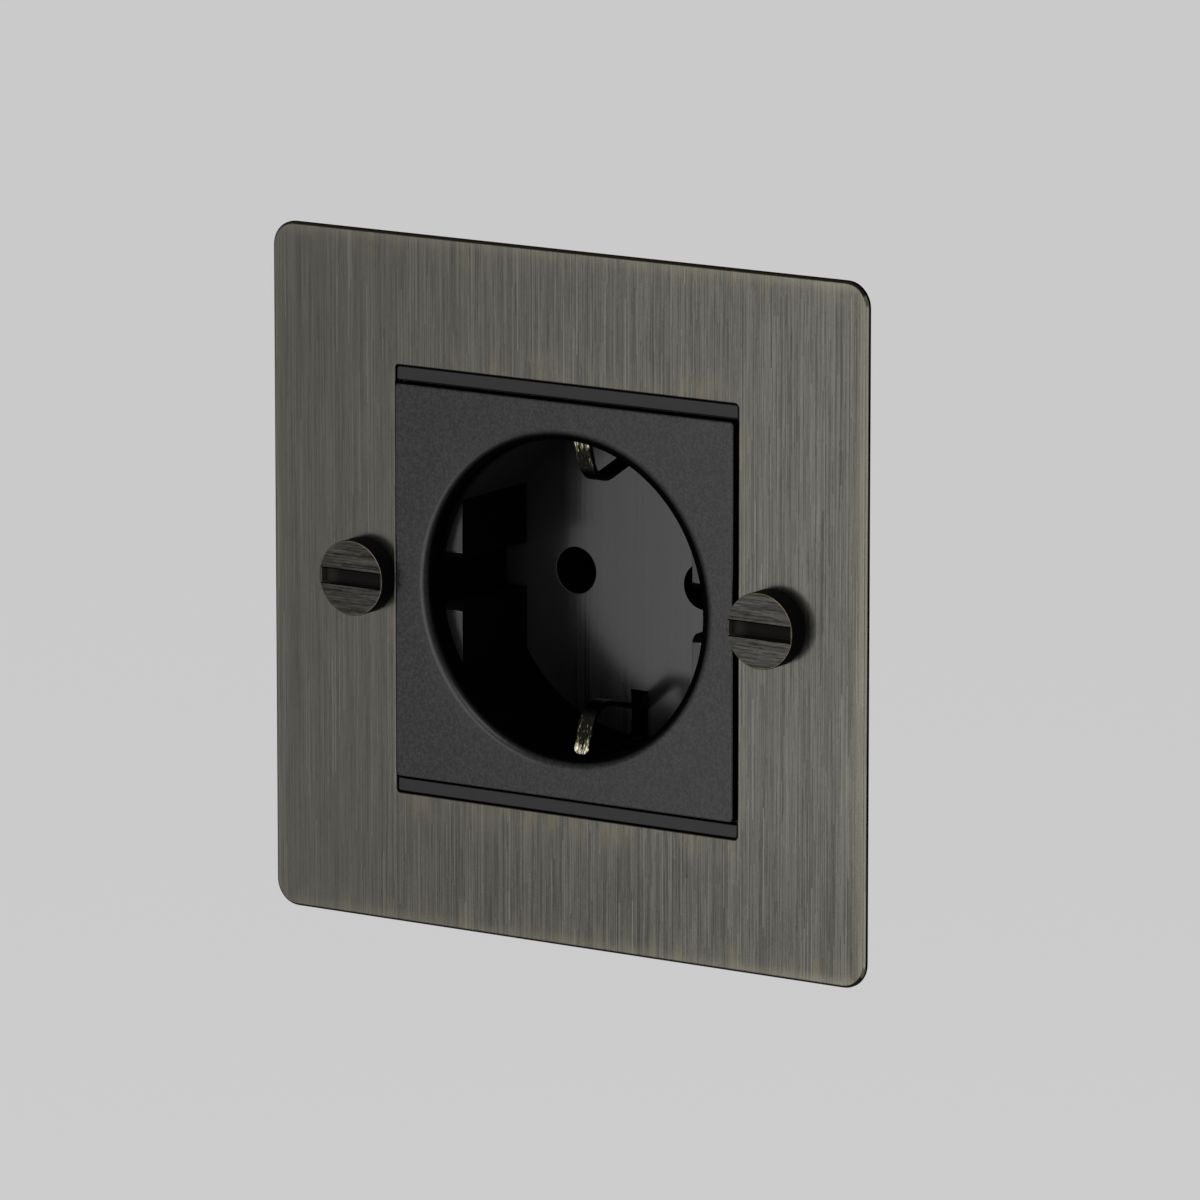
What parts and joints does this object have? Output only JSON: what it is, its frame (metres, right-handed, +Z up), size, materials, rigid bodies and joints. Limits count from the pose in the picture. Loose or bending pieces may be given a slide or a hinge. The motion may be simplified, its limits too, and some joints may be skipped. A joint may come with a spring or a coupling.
{
  "type": "wall socket",
  "caption": "Flush wall socket with a round recess, side earth clips and pin holes in a square matt face, in a flat brushed metal plate held by slotted screws.",
  "frame": {"origin": "middle of the plate's back face, which lies on the wall, midway between the two plate screws", "axes": "+X to the right and +Z up as the socket is seen on the wall, +Y into the wall"},
  "size_m": [0.0874, 0.0409, 0.0874],
  "materials": {
    "plate_bronze": "brushed from top to bottom, smoked bronze coat",
    "screw_bronze": "brushed across, smoked bronze coat",
    "face_plastic": "fine matt texture, near black",
    "frame_plastic": "smooth matt, near black",
    "base_plastic": "half gloss with faint upright lines, near black",
    "housing_plastic": "plain moulded, dark grey",
    "clip_metal": "nickel plated, rubbed",
    "contact_metal": "bare, stamped",
    "terminal_metal": "bare, drawn bar",
    "fixing_steel": "zinc plated"
  },
  "bodies": {
    "root": {"front_plate": "plate_bronze", "coin_screws": "screw_bronze", "plate_studs": "fixing_steel", "stud_nuts": "fixing_steel", "plate_earth_terminal": "terminal_metal", "plate_earth_screw": "fixing_steel", "module_frame": "frame_plastic", "socket_cover": "face_plastic", "contact_base": "base_plastic", "rear_housing": "housing_plastic", "left_contact": "contact_metal", "right_contact": "contact_metal", "earth_strap": "clip_metal", "left_terminal": "terminal_metal", "right_terminal": "terminal_metal", "earth_terminal": "terminal_metal", "terminal_screws": "fixing_steel", "housing_screws": "fixing_steel"}
  },
  "joints": []
}
